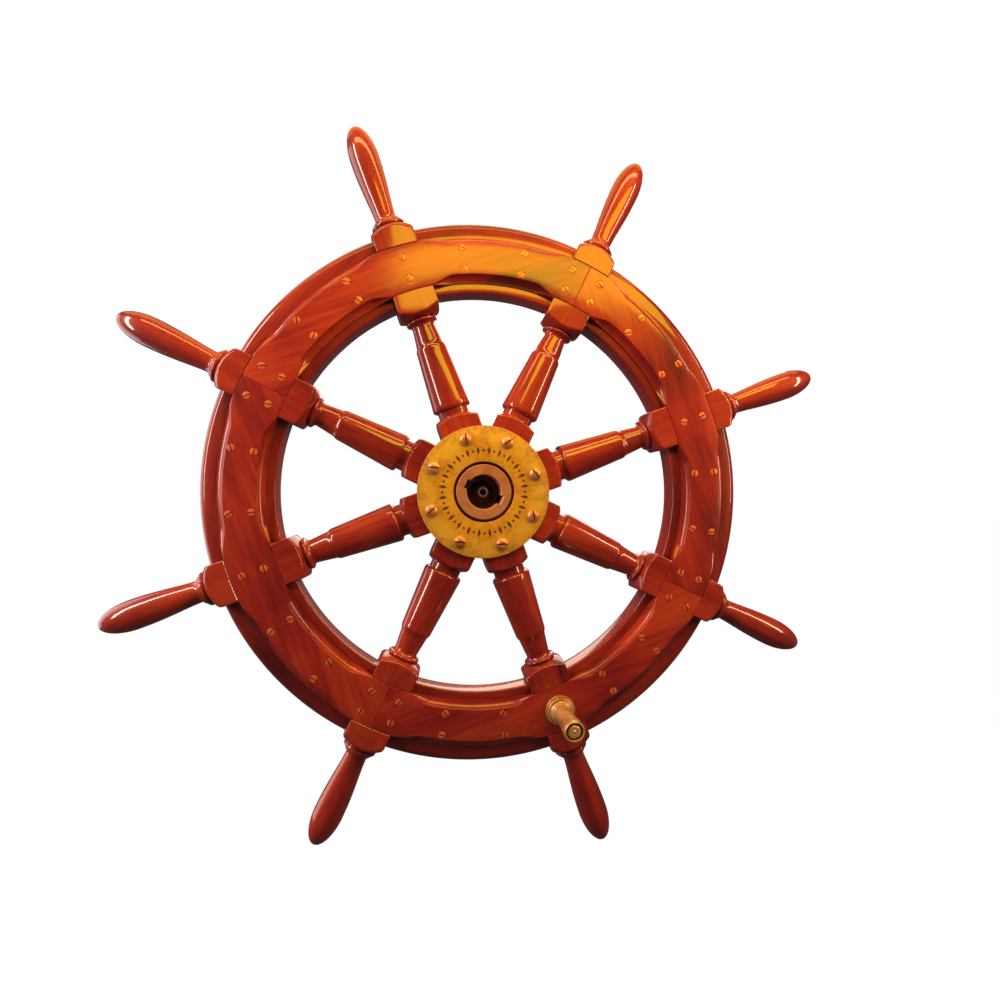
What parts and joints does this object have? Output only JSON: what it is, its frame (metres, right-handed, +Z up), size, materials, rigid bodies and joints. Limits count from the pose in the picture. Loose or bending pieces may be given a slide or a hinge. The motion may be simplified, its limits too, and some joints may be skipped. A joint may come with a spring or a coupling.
{
  "type": "ship steering wheel",
  "caption": "Varnished mahogany ship's helm: turned spokes with grips, a felloe rim with screwed facings, brass hub plates on a keyed boss, and a brass turning handle that spins.",
  "frame": {"origin": "on the wheel's spin axis, in the rear face of the spindle's mounting flange", "axes": "+Y along the spin axis into the stand or bulkhead, so the wheel's front faces -Y; +Z up; +X to the right for the helmsman"},
  "size_m": [0.9434, 0.154, 0.9434],
  "materials": {
    "spoke_mahogany": "varnished, gloss",
    "felloe_mahogany": "varnished, gloss",
    "facing_mahogany": "varnished, gloss",
    "dowel_wood": "plain",
    "screw_bronze": "varnished over",
    "plate_brass": "aged, satin",
    "boss_bronze": "worn, satin",
    "bolt_bronze": "worn, polished",
    "crank_brass": "worn, polished",
    "spindle_steel": "oily",
    "flange_iron": "painted dark"
  },
  "bodies": {
    "spindle": {"mounting_flange": "flange_iron", "spindle": "spindle_steel", "thrust_washer": "boss_bronze", "retaining_washer": "spindle_steel", "retaining_nut": "spindle_steel"},
    "wheel": {"spoke_1": "spoke_mahogany", "spoke_2": "spoke_mahogany", "spoke_3": "spoke_mahogany", "spoke_4": "spoke_mahogany", "spoke_5": "spoke_mahogany", "spoke_6": "spoke_mahogany", "spoke_7": "spoke_mahogany", "spoke_8": "spoke_mahogany", "felloe_1": "felloe_mahogany", "felloe_2": "felloe_mahogany", "felloe_3": "felloe_mahogany", "felloe_4": "felloe_mahogany", "felloe_5": "felloe_mahogany", "felloe_6": "felloe_mahogany", "felloe_7": "felloe_mahogany", "felloe_8": "felloe_mahogany", "front_facing_1": "facing_mahogany", "front_facing_2": "facing_mahogany", "front_facing_3": "facing_mahogany", "front_facing_4": "facing_mahogany", "rear_facing_1": "facing_mahogany", "rear_facing_2": "facing_mahogany", "rear_facing_3": "facing_mahogany", "rear_facing_4": "facing_mahogany", "front_facing_screws": "screw_bronze", "rear_facing_screws": "screw_bronze", "felloe_dowels": "dowel_wood", "front_hub_plate": "plate_brass", "rear_hub_plate": "plate_brass", "hub_boss": "boss_bronze", "bearing_bush": "boss_bronze", "hub_bolts": "bolt_bronze", "hub_nuts": "bolt_bronze", "crank_base": "crank_brass", "crank_bolt": "crank_brass", "crank_washer": "crank_brass", "crank_nut": "crank_brass"},
    "crank_grip": {"crank_grip": "crank_brass"}
  },
  "joints": [
    {"name": "wheel_spin", "type": "hinge", "parent": "spindle", "child": "wheel", "pos_m": [0, -0.048, 0], "axis": [0, -1, 0], "continuous": true},
    {"name": "crank_grip_spin", "type": "hinge", "parent": "wheel", "child": "crank_grip", "pos_m": [0.09998, -0.115, -0.28391], "axis": [0, -1, 0], "continuous": true}
  ]
}
